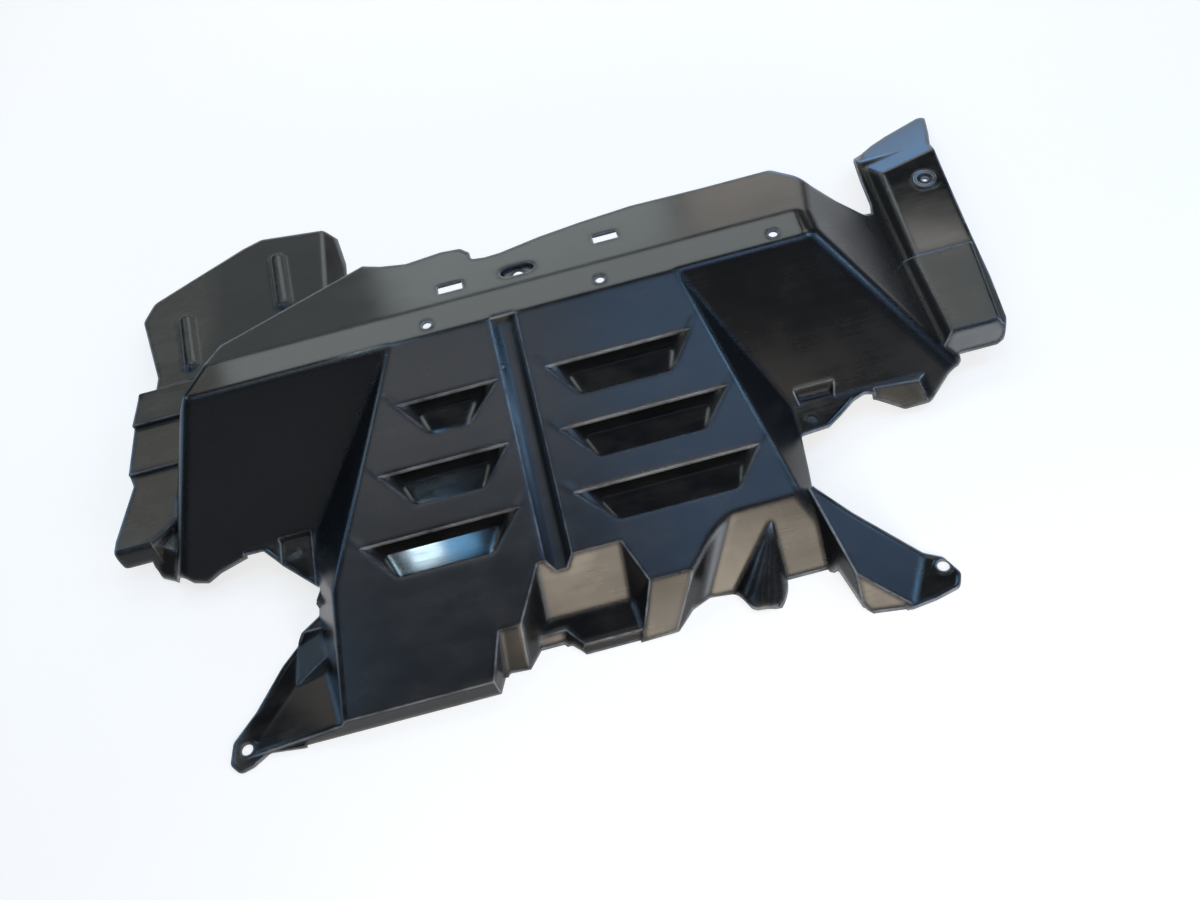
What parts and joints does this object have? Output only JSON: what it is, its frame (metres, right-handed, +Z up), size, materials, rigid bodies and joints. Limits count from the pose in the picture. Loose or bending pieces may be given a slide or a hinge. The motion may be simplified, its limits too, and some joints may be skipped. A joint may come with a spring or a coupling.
{
  "type": "engine splash shield",
  "caption": "Moulded plastic shield that hangs under an engine bay, with a vented, sloping main panel, lower side panels, outer wings, a rear flap and front fixing legs.",
  "frame": {"origin": "centre of the base of the bounding box, on the plane that the legs and the rear edges rest on", "axes": "+Z up out of the road side of the shield, +X along its length towards the wider wing, +Y from the legs towards the rear flap"},
  "size_m": [1.0016, 0.7146, 0.15],
  "materials": {
    "shield_plastic": "semi-gloss moulded black"
  },
  "bodies": {
    "root": {"splash_shield": "shield_plastic"}
  },
  "joints": []
}
